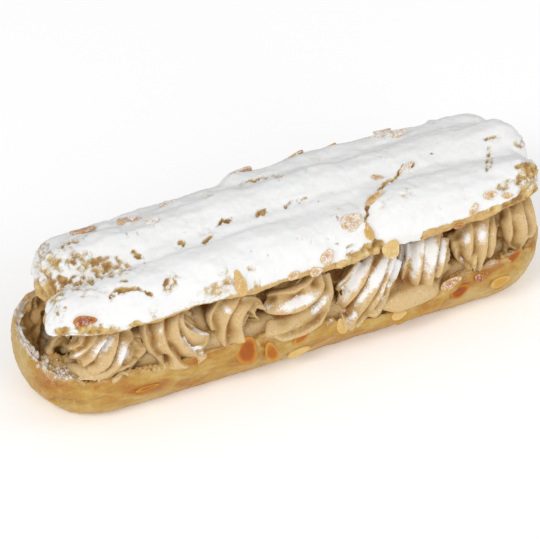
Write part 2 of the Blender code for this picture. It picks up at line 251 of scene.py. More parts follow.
def frayed(view, points, amount, wavelength, seed):
    """Places in the view, each moved a little at random, so that marks there get ragged edges."""
    moved = np.stack([rough(points, wavelength, seed), rough(points, wavelength, seed + 1)])
    return np.array(view) + amount * moved


def bubbles(points, size, seed):
    """How near each point is to a wall between bubbles: 0 at a wall, about 1 inside a bubble."""
    place = points / size
    cell = np.floor(place).astype(np.int64)
    nearest, second = np.full(len(points), 9.0), np.full(len(points), 9.0)
    for corner in itertools.product((-1, 0, 1), repeat=3):
        near_cell = cell + np.array(corner)
        middle = near_cell + np.stack([chance_at(near_cell, seed + k) for k in range(3)], axis=1)
        gap = np.linalg.norm(place - middle, axis=1)
        second = np.minimum(second, np.maximum(nearest, gap))
        nearest = np.minimum(nearest, gap)
    return np.clip((second - nearest) * 1.6, 0, 1)


def step(low, high, values):
    """0 below low, 1 above high, smooth between."""
    share = np.clip((values - low) / (high - low), 0, 1)
    return share * share * (3 - 2 * share)


def oval(view, middle_x, middle_y, half_x, half_y, lean=0, soft=0.5):
    """1 inside a leaning oval of the view, falling to 0 at its edge."""
    turn = math.radians(lean)
    across, down = view[0] - middle_x, view[1] - middle_y
    along = across * math.cos(turn) - down * math.sin(turn)
    beside = across * math.sin(turn) + down * math.cos(turn)
    return np.clip((1 - np.hypot(along / half_x, beside / half_y)) / soft, 0, 1)


def ovals(view, spots, soft=0.5):
    """The strongest of several ovals: each is strength, then the sizes that oval takes."""
    total = np.zeros(len(view[0]))
    for strength, *sizes in spots:
        total = np.maximum(total, strength * oval(view, *sizes, soft=soft))
    return total


def line_distance(view, line):
    """How far each point shows from a line of the view."""
    best = np.full(len(view[0]), 1e9)
    for (ax, ay), (bx, by) in zip(line, line[1:]):
        length = (bx - ax) ** 2 + (by - ay) ** 2
        share = np.clip(((view[0] - ax) * (bx - ax) + (view[1] - ay) * (by - ay)) / length, 0, 1)
        gap = np.hypot(view[0] - ax - share * (bx - ax), view[1] - ay - share * (by - ay))
        best = np.minimum(best, gap)
    return best


def lines(view, marks):
    """The strongest of several lines: each is strength, half width, then its points."""
    total = np.zeros(len(view[0]))
    for strength, half_width, *line in marks:
        gone = step(0.4, 1.3, line_distance(view, line) / half_width)
        total = np.maximum(total, strength * (1 - gone))
    return total


def facing(normals):
    """1 where the skin faces the camera, 0 where it faces away."""
    return step(-0.15, 0.1, normals @ np.array(BACK))


def noise(tree, place, scale, detail, roughness=0.5):
    """Soft random tones."""
    settings = {"Scale": scale, "Detail": detail, "Roughness": roughness}
    return add(tree, "TexNoise", Vector=place, **settings).outputs["Fac"]


def stored(tree, name):
    """A number that the piece keeps for each of its points."""
    return add(tree, "Attribute", {"attribute_name": name}).outputs["Fac"]


def scaled(tree, value, factor, plus):
    """A value times a factor, plus another value."""
    settings = {"operation": "MULTIPLY_ADD"}
    return add(tree, "Math", settings, i0=value, i1=factor, i2=plus).outputs[0]


def spread(tree, value, **limits):
    """A value moved from one range to another."""
    return add(tree, "MapRange", Value=value, **limits).outputs[0]


def ramp(tree, tone, first, last, *between):
    """A colour for each tone. Each stop is its tone, then red, green and blue."""
    node = add(tree, "ValToRGB", Fac=tone)
    stops = node.color_ramp.elements
    stops[0].position, stops[1].position = first[0], last[0]
    stops[0].color, stops[1].color = (*first[1:], 1), (*last[1:], 1)
    for position, *colour in between:
        stops.new(position).color = (*colour, 1)
    return node.outputs["Color"]


def embossed(tree, shader, relief, strength, distance):
    """Fine relief on a surface."""
    bump = add(tree, "Bump", Strength=strength, Distance=distance, Height=relief)
    tree.links.new(bump.outputs[0], shader.inputs["Normal"])


SUGAR_FROM, SUGAR_TO = 1.65, 2.6
SUGAR = (0.855, 0.855, 0.845, 1)
SUGAR_ROUGHNESS = 0.95


def sugar_grain(tree):
    """How white each spot is: the stored cover (about 0 bare, 1.3 thick), broken up into grains."""
    place = add(tree, "TexCoord").outputs["Object"]
    clumps = scaled(tree, noise(tree, place, 620, 3, 0.6), 1.4, stored(tree, "sugar"))
    both = scaled(tree, noise(tree, place, 2300, 3, 0.75), 1.9, clumps)
    settings = {"interpolation_type": "SMOOTHSTEP"}
    return add(
        tree, "MapRange", settings, Value=both, From_Min=SUGAR_FROM, From_Max=SUGAR_TO
    ).outputs[0]


def dusted(tree, shader, colour, roughness, fine, sugar_relief, strength, distance):
    """Icing sugar over a colour. It is white and matt, and stands a little higher."""
    sugared = sugar_grain(tree)
    tree.links.new(mixed(tree, sugared, colour, SUGAR), shader.inputs["Base Color"])
    matt = spread(tree, sugared, To_Min=roughness, To_Max=SUGAR_ROUGHNESS)
    tree.links.new(matt, shader.inputs["Roughness"])
    embossed(tree, shader, scaled(tree, sugared, sugar_relief, fine), strength, distance)


def crust_look(name, pale, gold, brown):
    """Baked crust with sugar on it. The stored numbers say where it is browner from baking or carries
    painted shade, torn open or sugared.
    """
    material, tree, shader = shader_of(name)
    place = add(tree, "TexCoord").outputs["Object"]
    streaks = add(tree, "Mapping", Vector=place, Scale=(0.35, 1, 1)).outputs[0]
    fine = noise(tree, streaks, 900, 5, 0.65)
    even = scaled(tree, noise(tree, place, 110, 5, 0.6), 1.6, stored(tree, "browning_and_shade"))
    tone = spread(tree, scaled(tree, fine, 1.2, even), From_Min=0.95, From_Max=2.0)
    baked = ramp(tree, tone, (0.05, *pale), (0.95, *brown), (0.42, *gold))
    torn = mixed(tree, noise(tree, place, 500, 4), (0.5, 0.27, 0.07, 1), (0.76, 0.55, 0.25, 1))
    opened = mixed(tree, stored(tree, "crumb"), baked, torn)
    dusted(tree, shader, opened, 0.46, fine, 0.9, 0.6, 0.2 * MM)
    set_values(shader, Subsurface_Weight=0.12, Subsurface_Radius=(1.0, 0.5, 0.25))
    set_values(shader, Subsurface_Scale=1.2 * MM, Specular_IOR_Level=0.35)
    return material


def finished(obj, material):
    """Smooth shading and a material for a piece."""
    only(obj)
    bpy.ops.object.shade_smooth()
    obj.data.materials.append(material)


BASE_HALF_WIDTH = 22.0 * MM
BASE_HALF_LENGTH = 79.5 * MM
BASE_END = 20 * MM  # how long its rounded ends are
BASE_POWER = 2.2  # how square they are
CRUST = 1.0 * MM, 2.2 * MM  # how far in from its side the crust turns into crumb
HOLLOW = 7.5 * MM, 9 * MM  # how high above the table its hollow begins
ENDS_AT = 50 * MM, 58 * MM  # from where the floor of the hollow is raised at its right end
RIGHT_FLOOR = 15.5 * MM
# crumb left in the hollow at its left end: how high in mm, then middle, half sizes and lean
CRUMB_FILLS = ((15.5, 58, 361, 30, 14, -32), (18, 42, 303, 30, 14, 12))

base = pastry_from("choux_base", "choux_base_crust", BASE_VOXEL, 6)
points, normals = skin_of(base)
faces_view = facing(normals)
past_side = np.maximum(np.abs(points[:, 0]) - (BASE_HALF_LENGTH - BASE_END), 0) / BASE_END
across_share = np.abs(points[:, 1] - 0.5 * MM) / BASE_HALF_WIDTH
outwards = (past_side**BASE_POWER + across_share**BASE_POWER) ** (1 / BASE_POWER)
inset = (1 - outwards) * BASE_HALF_WIDTH
height = points[:, 2]
for top, *sizes in CRUMB_FILLS:
    raised = points.copy()
    raised[:, 2] = np.maximum(height, top * MM)
    filled = oval(in_view(raised), *sizes) * (inset > 1 * MM) * (height > 6 * MM)
    points[:, 2] += filled * (raised[:, 2] - height)
view = in_view(points)
inside = step(*CRUST, inset) * step(*HOLLOW, height)
rim_top = step(0.35, 0.75, normals[:, 2]) * step(0.2 * MM, 1.2 * MM, inset) * step(7 * MM, 9 * MM, height)
crumb = np.maximum(inside, rim_top)
left_end = step(-58 * MM, -66 * MM, points[:, 0])

# strength, half width, then the points of each faint fold of the crust
BASE_FOLDS = (
    (0.8, 3.5, (60, 408), (85, 405), (110, 398), (130, 390), (160, 386), (200, 379)),
    (0.6, 3.0, (44, 388), (60, 392), (84, 390), (104, 384)),
    (0.5, 2.6, (200, 366), (240, 358), (262, 352)),
    (0.5, 2.6, (150, 398), (190, 388), (230, 376), (262, 366)),
    (0.5, 2.4, (330, 340), (380, 322), (430, 306)),
    (0.5, 2.4, (440, 300), (470, 292), (500, 284), (520, 268)),
    (0.5, 3.0, (18, 352), (24, 366), (36, 380)),
)
# strength, then middle, half sizes and lean of each place that is rough and torn
BASE_TORN = (
    (1.0, 52, 369, 24, 11, -35),
    (0.9, 155, 369, 26, 5.5, 8),
    (0.9, 222, 345, 16, 5, 12),
    (0.8, 84, 381, 9, 6, 0),
    (0.8, 467, 273, 13, 5, 35),
    (0.9, 495, 260, 16, 8, 25),
    (0.7, 270, 340, 10, 6, 10),
)
ragged_view = frayed(view, points, 1.6, 3 * MM, 41)
torn = ovals(ragged_view, BASE_TORN) * faces_view
crumb = np.maximum(crumb, torn)
wide_end = step(*ENDS_AT, points[:, 0]) * inside * (height < 15 * MM)
points[:, 2] += wide_end * 0.8 * (RIGHT_FLOOR - height)

small_bubbles = bubbles(points + 0.5 * MM * rough(points, 4 * MM, 3)[:, None], 2.4 * MM, 4)
large_bubbles = bubbles(points + 0.8 * MM * rough(points, 5 * MM, 6)[:, None], 4.2 * MM, 8)
relief = 0.5 * MM * rough(points, 13 * MM, 1)  # broad unevenness
relief += 0.26 * MM * rough(points, 3.6 * MM, 2, (0.3, 1, 1.3)) * (1 - crumb)  # wrinkles
relief += 0.13 * MM * lumps(points, 1.3 * MM, 43, (0.25, 1, 1.2)) * (1 - crumb)  # fine wrinkles
relief += 1.1 * MM * torn * rough(points, 2.0 * MM, 44)
relief -= 0.45 * MM * lines(ragged_view, BASE_FOLDS) * faces_view
relief -= 0.8 * MM * crumb * small_bubbles
relief -= 2.8 * MM * inside * left_end * large_bubbles
relief += 0.4 * MM * crumb * rough(points, 1.5 * MM, 5)
points += normals * relief[:, None]
points[:, 2] = np.maximum(points[:, 2], 0)
reshape(base, points)

# strength, then middle, half sizes and lean of each browner, paler or sugared place; the broad browner ones
# along the lower side are painted shade
BASE_BROWN_AND_SHADE = (
    (0.6, 150, 388, 32, 8, 14),
    (0.25, 100, 384, 50, 9, 8),
    # these three are painted shade along the lower side of the bun
    (0.3, 215, 380, 60, 10, 18),
    (0.35, 330, 350, 70, 9, 24),
    (0.3, 420, 315, 50, 9, 26),
    (0.45, 45, 382, 20, 12, -40),
    (0.3, 90, 400, 60, 8, -4),
    (0.35, 240, 362, 40, 6, 18),
    (0.3, 40, 362, 12, 8, -30),
    (0.45, 195, 358, 34, 8, 20),
    (0.8, 268, 342, 10, 7, 30),
    (0.55, 48, 358, 9, 7, 0),
    (0.35, 120, 388, 30, 6, 8),
    (0.3, 310, 345, 30, 4, 22),
    (0.5, 480, 274, 40, 9, 32),
    (0.35, 183, 384, 14, 4, 15),
    (0.6, 56, 360, 14, 5, -45),
    (0.6, 532, 240, 5, 16, 5),
    (0.5, 60, 385, 24, 7, -25),
)
BASE_PALE = (
    (0.15, 470, 298, 40, 8, 28),
    (0.3, 22, 352, 10, 22, 0),
)
# painted shade: dark red-brown lines where the cream sits on the crust: strength, half width, then the
# points
BASE_CONTACT_SHADE = (
    (0.9, 1.6, (44, 350), (52, 356), (60, 362), (68, 366)),
    (0.9, 1.5, (132, 367), (148, 364), (164, 363)),
    (0.9, 1.6, (205, 343), (212, 341), (221, 339)),
    (0.6, 1.4, (455, 274), (468, 268), (484, 264)),
    (0.6, 1.3, (250, 333), (268, 333), (280, 336)),
)
BASE_SUGAR = (
    (1.0, 24, 335, 12, 27, 20),
    (0.9, 36, 352, 15, 13, -50),
    (0.85, 54, 370, 26, 16, -30),
    (0.85, 20, 308, 15, 16, 30),
    (0.7, 40, 302, 22, 10, 10),
    (0.95, 508, 253, 12, 6, 35),
    (0.6, 490, 262, 14, 6, 30),
    (0.95, 330, 320, 8, 3.5, 30),
    (0.55, 462, 271, 12, 5, 35),
    (0.4, 80, 378, 12, 5, 0),
)
# painted shade in the lines where the cream sits on the crust
contact_shade = lines(ragged_view, BASE_CONTACT_SHADE) * faces_view
browning_and_shade = (ovals(ragged_view, BASE_BROWN_AND_SHADE) - ovals(ragged_view, BASE_PALE)) * faces_view
# browner along the painted shade lines, and darker towards the bottom, within 3 mm of the table
browning_and_shade += 0.9 * contact_shade + 0.2 * step(3 * MM, 0, height) - 0.1
# painted shade: the crumb is coloured browner in its dents, less so in the hollow at the left end
browning_and_shade += (0.5 - 0.4 * left_end * inside) * step(0.0, -0.9, relief / (0.9 * MM)) * crumb
store(base, "browning_and_shade", browning_and_shade)
store(base, "crumb", crumb * 0.8 * (1 - contact_shade))
flat_top = step(0.1, 0.6, normals[:, 2])
sugar = ovals(ragged_view, BASE_SUGAR) * faces_view * np.maximum(flat_top, 0.55)
sugar *= 1 - step(1.2 * MM, 2 * MM, inset) * (height > 6 * MM) * step(15 * MM, 12 * MM, height)
back_rim = rim_top * step(4 * MM, 10 * MM, points[:, 1]) * (0.45 + 0.4 * rough(points, 6 * MM, 9))
store(base, "sugar", np.maximum(sugar, back_rim + 0.1) - 0.3)
golden = crust_look("golden_crust", (0.58, 0.41, 0.15), (0.485, 0.29, 0.06), (0.38, 0.135, 0.015))
finished(base, golden)
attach(base, "root")
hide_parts("choux_base")

# ---------------------------------------------------------------- lid
# The top half of the bun: six strands of choux that baked into one, lumpy and cracked, with a
# ragged thin edge. It is dusted thickly with icing sugar, which leaves cracks and edges bare.

LID_VOXEL = 0.47 * MM
lid = pastry_from("choux_lid", "choux_lid_crust", LID_VOXEL, 26)
points, normals = skin_of(lid)
view = in_view(points)
faces_view = facing(normals)

# strength, half width, then the points of each crack or row of holes; the depth is in proportion
LID_CRACKS = (
    (1.0, 2.4, (66, 284), (72, 280), (80, 278), (92, 281)),
    (0.8, 1.8, (121, 281), (127, 280)),
    (1.0, 2.3, (111, 297), (116, 293), (122, 290.5)),
    (0.9, 1.5, (122, 290), (130, 288.5), (138, 289), (146, 291), (151, 294.5)),
    (0.9, 1.8, (132, 252), (138, 256)),
    (0.45, 1.5, (62, 247), (74, 241), (86, 237)),
    (0.4, 1.4, (203, 198), (212, 195)),
    (0.55, 1.5, (236, 186), (247, 180), (262, 177), (281, 176)),
    (0.4, 1.3, (147, 221), (158, 220)),
    (0.9, 1.6, (180, 242), (184, 243)),
    (0.9, 1.8, (205, 241), (209, 238), (211, 235)),
    (0.7, 1.4, (217, 226), (222, 220)),
    (0.8, 1.6, (222, 219), (228, 221), (231, 219)),
    (0.9, 2.2, (258, 215), (265, 211)),
    (0.6, 1.6, (284, 206), (292, 203)),
    (0.6, 1.4, (298, 201), (306, 198)),
    (0.8, 1.8, (366, 206), (370, 200), (378, 191), (384, 184)),
    (0.7, 1.5, (384, 184), (390, 180), (396, 177), (400, 172), (404, 166)),
    (0.6, 1.4, (404, 166), (413, 165)),
    (0.7, 1.4, (366, 206), (367, 214), (366, 222), (372, 233), (378, 246)),
    (0.5, 1.5, (486, 160), (490, 152), (489, 144)),
    (0.5, 1.3, (484, 138), (492, 137), (500, 136)),
    (0.6, 1.6, (485, 165), (487, 170)),
    (0.6, 1.6, (96, 275), (101, 277)),
    (0.7, 1.6, (83, 279), (87, 284)),
)
# strength, then middle, half sizes and lean of each place that the sugar left bare
LID_BARE = (
    (1.15, 47, 291, 22, 17, -10),
    (0.8, 62, 279, 8, 5, 0),
    (0.75, 110, 266, 30, 14, -5),
    (0.7, 50, 264, 20, 18, 0),
    (0.65, 80, 262, 30, 16, 0),
    (0.6, 42, 250, 12, 14, 0),
    (0.4, 70, 245, 22, 7, 25),
    (1.2, 96, 330.5, 30, 5.5, -6),
    (1.0, 62, 331, 12, 6, 10),
    (0.45, 77, 290, 12, 6, 0),
    (0.3, 153, 310, 12, 10, 0),
    (0.6, 171, 284, 10, 14, -25),
    (0.4, 92, 292, 26, 8, 0),
    (0.35, 60, 312, 10, 16, 0),
    (0.6, 134, 325, 12, 4, 15),
    (0.55, 212, 291, 20, 9, 10),
    (0.5, 226, 276, 10, 12, 0),
    (0.5, 252, 268, 8, 6, 0),
    (0.5, 257, 284, 6, 6, 0),
    (1.25, 372, 247, 16, 6.5, 22),
    (1.1, 355, 256, 14, 4.5, 28),
    (0.6, 350, 246, 8, 3, 30),
    (1.2, 436, 232, 15, 5.5, 12),
    (1.2, 462, 225, 14, 4.5, 22),
    (1.25, 529, 169, 18, 9, -8),
    (0.8, 527, 183, 16, 18, -20),
    (0.6, 505, 185, 14, 8, 20),
    (0.75, 520, 142, 8, 12, -25),
    (0.5, 408, 192, 16, 8, 35),
    (0.35, 386, 203, 18, 5, 30),
    (0.5, 489, 160, 7, 10, 0),
    (0.4, 492, 140, 10, 6, 15),
    (0.35, 446, 168, 5, 5, 0),
    (0.3, 330, 238, 10, 4, 20),
    (0.4, 180, 246, 10, 4, 10),
    (0.4, 205, 232, 10, 5, 30),
    (0.3, 155, 220, 12, 4, 20),
    (0.3, 130, 222, 12, 5, 25),
)
# the lid's lower edge in the view, from the ragged left end to the right end
LID_EDGE = (
    (65, 285), (57, 297), (50, 310), (46, 325), (47, 335), (54, 336), (83, 335), (113, 334),
    (124, 332), (130, 331), (132, 328), (138, 327), (149, 323.5), (180, 313), (200, 305), (220, 300),
    (250, 294), (275, 290), (300, 284), (322, 275), (345, 266), (378, 254), (381, 248), (400, 244),
    (425, 239), (447, 233), (466, 227), (485, 218), (503, 209), (525, 200), (539, 190),
)
LID_CORNER = 4  # the point of that line where the left end meets the front
LID_REACH = 537.5  # the lid reaches no further across than this
# across, then how much crust shows bare above the edge there
LID_BAND = (
    (262, 0), (284, 3), (300, 4), (322, 5), (345, 6), (380, 5), (384, 0), (420, 0),
    (424, 7), (447, 6), (466, 6), (485, 7), (503, 6), (525, 6), (539, 8),
)
PIXEL = CAMERA_DISTANCE / FOCAL  # how large one unit of the view is on the pastry

edge_across, edge_down = np.array(LID_EDGE[LID_CORNER:]).T
side_across, side_down = np.array(LID_EDGE[: LID_CORNER + 1]).T
ragged = 1.8 * rough(points, 2.2 * MM, 51) + 1.0 * rough(points, 6 * MM, 52)
excess = np.maximum(view[1] - np.interp(view[0], edge_across, edge_down) - ragged, 0)
front_half = step(6 * MM, 0, points[:, 1])
points[:, 2] += front_half * excess * PIXEL / math.cos(ELEVATION)
short = np.maximum(np.interp(view[1], side_down, side_across) + 2 * ragged - view[0], 0)
short *= (
    step(282, 288, view[1])
    * step(-3.5 * MM, -7.5 * MM, points[:, 1])
    * step(-50 * MM, -60 * MM, points[:, 0])
)
points += 0.9 * PIXEL * short[:, None] * np.array(RIGHT)
too_far = np.maximum(view[0] - LID_REACH - 0.7 * ragged, 0)
points -= PIXEL * too_far[:, None] * np.array(RIGHT)
view = in_view(points)

ragged_view = frayed(view, points, 1.5, 2.6 * MM, 53)
broken_view = frayed(ragged_view, points, 1.9, 1.3 * MM, 58)
cracks = lines(broken_view, LID_CRACKS) * faces_view * step(-0.45, 0.1, rough(points, 1.4 * MM, 60))
wider_cracks = [(0.5 * strength, 2.4 * wide, *line) for strength, wide, *line in LID_CRACKS]
beside_cracks = lines(ragged_view, wider_cracks)
band_across, band_height = np.array(LID_BAND).T
above_edge = np.interp(ragged_view[0], edge_across, edge_down) - ragged_view[1]
band = np.interp(ragged_view[0], band_across, band_height)
lip = step(1.0, -1.0, above_edge - band) * step(0, 2, band)
bare = np.maximum(np.maximum(ovals(ragged_view, LID_BARE), lip), beside_cracks) * faces_view
hidden = 1 - faces_view
back_bare = hidden * (
    0.8 * step(0.45, 0.75, rough(points, 9 * MM, 12))
    + 0.7 * step(34 * MM, 31 * MM, points[:, 2])
    + 0.5 * step(0.5, 0.8, rough(points, 4 * MM, 13))
)
bridge = step(381, 387, view[0]) * step(427, 421, view[0]) * faces_view
under = step(0.0, -0.35, normals[:, 2]) * (1 - bridge)
edge_thin = step(9, 0, above_edge) * step(60, 70, view[0]) * (1 - bridge) * faces_view
thick = 1.3 + 0.25 * rough(points, 5 * MM, 55) - 0.35 * step(0.45, 0.8, rough(points, 3 * MM, 56))
pinholes = step(0.5, 0.75, rough(points, 1.7 * MM, 62)) * step(-0.3, 0.5, rough(points, 14 * MM, 63))
thick -= 0.45 * edge_thin * (1 + rough(points, 2.5 * MM, 61))

# strength, then middle, half sizes and lean of each rough, crumbly place
CRAGS = (
    (1.0, 48, 285, 22, 22, 0),
    (1.0, 108, 266, 28, 14, -5),
    (0.8, 70, 262, 26, 16, 0),
    (0.7, 96, 328, 34, 8, -6),
    (0.7, 75, 285, 24, 8, 0),
    (0.6, 225, 285, 40, 10, 15),
    (1.0, 171, 284, 10, 14, -25),
    (0.8, 360, 252, 28, 8, 25),
    (0.6, 460, 226, 40, 7, 22),
    (0.7, 527, 165, 16, 14, 0),
)
craggy = np.maximum(np.clip(bare, 0.12, 0.7), ovals(view, CRAGS) * faces_view)
relief = 0.65 * MM * rough(points, 9 * MM, 21) + 0.15 * MM * rough(points, 2.6 * MM, 25)
pits = 0.6 * rough(points, 2.2 * MM, 22) + 0.7 * rough(points, 1.1 * MM, 57)
pits += 0.55 - bubbles(points + 0.6 * MM * rough(points, 3 * MM, 26)[:, None], 3.0 * MM, 23)
pits = craggy * pits + 0.4 * pinholes
relief -= 1.0 * MM * pits + 1.3 * MM * cracks
reshape(lid, points + normals * relief[:, None])
points, normals = skin_of(lid)
steep = step(0.75, 0.1, normals[:, 2]) * craggy
sugar = thick - 0.6 * bare - 0.5 * bare**2 - 1.05 * pits - 0.5 * steep - 1.6 * cracks
sugar -= 1.3 * back_bare + 1.7 * under + 0.45 * pinholes * faces_view
# painted shade: the crust is coloured browner in cracks and pits; the rest is baked browning, at random and
# on the bare lip
browning_and_shade = 0.25 * rough(points, 5 * MM, 24) + 0.45 * cracks + 0.9 * pits - 0.15
browning_and_shade += 0.6 * lip * rough(points, 1.7 * MM, 64)
store(lid, "browning_and_shade", browning_and_shade)
store(lid, "crumb", np.clip(0.85 * under + 0.25 * craggy, 0, 1))
store(lid, "sugar", sugar)
sugared_crust = crust_look("sugared_crust", (0.68, 0.53, 0.24), (0.55, 0.375, 0.12), (0.28, 0.125, 0.025))
finished(lid, sugared_crust)
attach(lid, "root")
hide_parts("choux_lid")

# ---------------------------------------------------------------- praline cream
# Whipped praline cream, piped from a star nozzle in one rope that loops over from the front to the
# back, swirl after swirl. Each swirl is a rope body that carries the ridges which the star left.

CREAM_TOP = 32 * MM
CREAM_BACK = 19.5 * MM
CREAM_FRONT = -24.8 * MM
ROPE_SHIFT = Vector((-0.444, 0.519, 0)) * MM
CREAM_VOXEL = 0.36 * MM
BED_VOXELS = 0.6 * MM, 0.5 * MM  # as a bed alone, and with what is piped on it
STAR_RIDGES = 10
SMOOTH_SHARE = 0.97  # of a loop's radius, on which its folds are laid out

# Each loop of the rope: x where it comes out from under the lid, x of its foot, radius,
# how far it stands out at the front, and height of its foot
ROPES = (
    (-59, -66, 11.6, 21.8, 13.2),
    (-45, -35.5, 10.2, 24.0, 12.0),
    (-21.5, -26, 9.7, 22.8, 15.0),
    (4, -11, 9.8, 24.2, 11.6),
    (24, 13, 9.8, 24.8, 10.0),
    (40, 36, 9.6, 24.2, 10.4),
    (56, 53, 9.2, 22.8, 15.2),
    (68, 66.5, 9.4, 20.6, 16.4),
)
# The folds of each swirl: width in mm, or 0 where it reaches to the crest before, and then the
# places that its crest passes in the view
SWIRLS = (
    (
        (2.0, (87, 326), (84, 338), (81, 344), (75, 347.5), (69, 349.5)),
        (0, (99, 326), (95, 340), (90, 347), (83, 353), (74, 358), (66, 359.5)),
        (0, (111, 326), (107, 340), (101, 348.5), (98, 354), (93, 361), (84, 367)),
        (0, (120, 326), (119, 340), (117, 348), (115.5, 354), (112, 362), (104, 371), (94, 377)),
        (0, (129, 326), (134.5, 337), (130.5, 343.5), (127.5, 350), (125.5, 357), (121, 366),
         (112, 375), (101, 381)),
        (0, (136, 330), (140.4, 346), (136.8, 352), (131.5, 359.5), (128, 368), (122, 375), (113.7, 380)),
        (0, (143, 338), (143.2, 349.5), (138.2, 356.5), (133.3, 365), (127.7, 373.3)),
        (0, (149, 344), (147.5, 354), (140.4, 361), (133.3, 368.4)),
    ),
    (
        (4.0, (146, 314), (144.5, 328), (146, 340), (150.5, 351), (157, 359), (165, 365)),
        (0, (164, 307), (163, 325), (164, 337), (167.5, 347), (173, 356), (181, 364), (188, 368)),
        (0, (179, 302), (178, 320), (180, 334), (185, 344.5), (192, 351.5), (199, 355.5), (206, 357)),
        (0, (187, 302), (184, 315), (185.5, 325), (190.5, 330), (197, 333), (204, 334.5), (212, 333.5)),
    ),
    (
        (2.6, (225, 293), (215, 307), (211, 318), (212, 331)),
        (0, (244, 288), (237.5, 305), (231, 315.7), (227.3, 324), (225, 333), (224.5, 345)),
        (0, (257, 294), (252, 306.5), (246.5, 314), (243, 323), (243, 332), (245.5, 341)),
        (0, (262, 301), (257, 309), (255, 315), (257, 319.5), (264, 323.5)),
        (1.8, (244, 296), (254, 296), (261, 299), (265, 305), (271, 310)),
    ),
    (
        (2.4, (316, 274), (309.5, 283), (301, 288.7), (292, 292.4), (280, 293), (266, 295)),
        (0, (320, 268), (324.7, 281), (324.5, 288), (321, 296), (315, 302.5), (306, 308.5),
         (295, 313), (281, 315), (269, 313.5), (261, 309)),
        (0, (330, 272), (334.4, 290), (332.5, 301), (328, 310), (320, 317), (310, 323),
         (298, 328), (284, 332), (267, 334)),
        (0, (334, 298), (330, 312), (323, 321), (315, 328.5), (306, 333.5), (293, 339), (283, 341),
         (275, 338)),
    ),
    (
        (2.8, (358, 260), (350, 273), (344, 281), (335, 289)),
        (0, (374, 248), (371, 262), (367.5, 277), (361.5, 288), (354, 298), (346, 306), (335, 315)),
        (0, (391, 248), (388, 264), (384.5, 276), (380.5, 286), (375, 296), (368, 306.5), (361, 315),
         (354, 322.5), (346, 330)),
        (0, (397, 256), (392, 273), (387, 285), (383, 296), (376, 307), (369, 316), (360, 327)),
        (0, (403, 262), (397.5, 278), (391.5, 287), (389, 297), (385, 307), (379, 320)),
    ),
    (
        (3.0, (401, 240), (400, 253), (398, 264), (396, 274)),
        (0, (408, 242), (407, 258), (405, 270), (401, 284)),
        (0, (423, 230), (424.3, 246), (423.2, 258), (421.5, 271), (419, 282), (416.5, 291), (413, 300)),
        (0, (441, 228), (440.5, 242), (438, 256), (435.5, 269), (433.5, 283), (430, 296)),
        (0, (450, 238), (446.5, 254), (444.5, 266), (441, 278)),
    ),
    (
        (1.8, (440, 237), (446, 235), (450.5, 241.7), (451.7, 250), (450, 256), (444, 261)),
        (0, (452, 241), (455.5, 250), (456.5, 258), (460, 268)),
        (0, (468, 214), (471.5, 230), (472.7, 240), (472, 250), (469.5, 259.5), (463, 268)),
        (0, (490, 206), (489, 227), (488.5, 240), (487.5, 251), (485, 261), (480, 269)),
        (0, (494, 210), (496.3, 227), (496.8, 238), (495.5, 248), (492.5, 258)),
    ),
    (
        (3.2, (504, 198), (509.5, 212), (511.8, 224), (512.7, 232), (511, 241), (507.6, 250)),
        (0, (519, 192), (524.8, 211), (527.4, 222), (528, 232), (526.7, 241), (523, 248)),
        (0, (528, 188), (533.8, 206.7), (536.3, 217.5), (537, 227.7), (535.3, 237)),
    ),
)


def rope_line(x_top, x_foot, radius, reach, foot):
    """The rope's middle line, from its foot at the front, over the top, to the back."""
    front = -(reach - radius)
    crown = CREAM_TOP - radius
    x_mid = 0.45 * x_top + 0.55 * x_foot
    line = (
        (x_foot, front + 1.5 * MM, foot + 0.35 * radius),
        (x_mid, front, 0.5 * (foot + crown) + 2.2 * MM),
        (0.9 * x_top + 0.1 * x_foot, 0.72 * front, crown - 0.2 * MM),
        (x_top, 0, crown),
        (x_top, 0.6 * (CREAM_BACK - radius), crown - 0.5 * MM),
        (x_top, CREAM_BACK - radius, crown - 5 * MM),
    )
    return [Vector(p) + ROPE_SHIFT for p in line]


def piped(name, line, radii, section=None, turn=0.0):
    """A rope of cream along a line, round or with the section of a star nozzle, as a mesh."""
    curve = bpy.data.curves.new(name, "CURVE")
    curve.dimensions = "3D"
    curve.resolution_u = 8
    curve.use_fill_caps = True
    if section:
        curve.bevel_mode = "OBJECT"
        curve.bevel_object = section
    else:
        curve.bevel_depth = 1 * MM
        curve.bevel_resolution = 5
    points = curve.splines.new("BEZIER").bezier_points
    points.add(len(line) - 1)
    for point, place, radius, share in zip(points, line, radii, np.linspace(0, 1, len(line))):
        point.co = place
        point.radius = radius
        point.tilt = turn * share
        point.handle_left_type = point.handle_right_type = "AUTO"
    only(new_piece(name, curve))
    bpy.ops.object.convert(target="MESH")
    return bpy.context.object


def joined(objects, name):
    """One piece made of several."""
    bpy.ops.object.select_all(action="DESELECT")
    for obj in objects:
        obj.select_set(True)
    bpy.context.view_layer.objects.active = objects[0]
    bpy.ops.object.join()
    objects[0].name = name
    return objects[0]


bpy.ops.curve.primitive_bezier_circle_add(radius=1 * MM)
star = bpy.context.object
star.name = "star_nozzle"
bpy.ops.object.mode_set(mode="EDIT")
bpy.ops.curve.spline_type_set(type="POLY")
bpy.ops.curve.subdivide(number_cuts=2 * STAR_RIDGES - 1)
bpy.ops.object.mode_set(mode="OBJECT")
star_points = star.data.splines[0].points
for i, point in enumerate(star_points):
    turn = math.tau * i / len(star_points)
    reach = 0.8 + 0.2 * abs(math.sin(STAR_RIDGES * turn / 2)) ** 0.7
    point.co = (MM * reach * math.cos(turn), MM * reach * math.sin(turn), 0, 1)

# shares of its radius along a loop: of the smooth rope, and of the rope body below the folds
ROPE_TAPER = (0.8, 0.98, 1, 1, 1, 0.62)
CORE_TAPER = (0.45, 0.66, 0.66, 0.72, 0.95, 0.6)
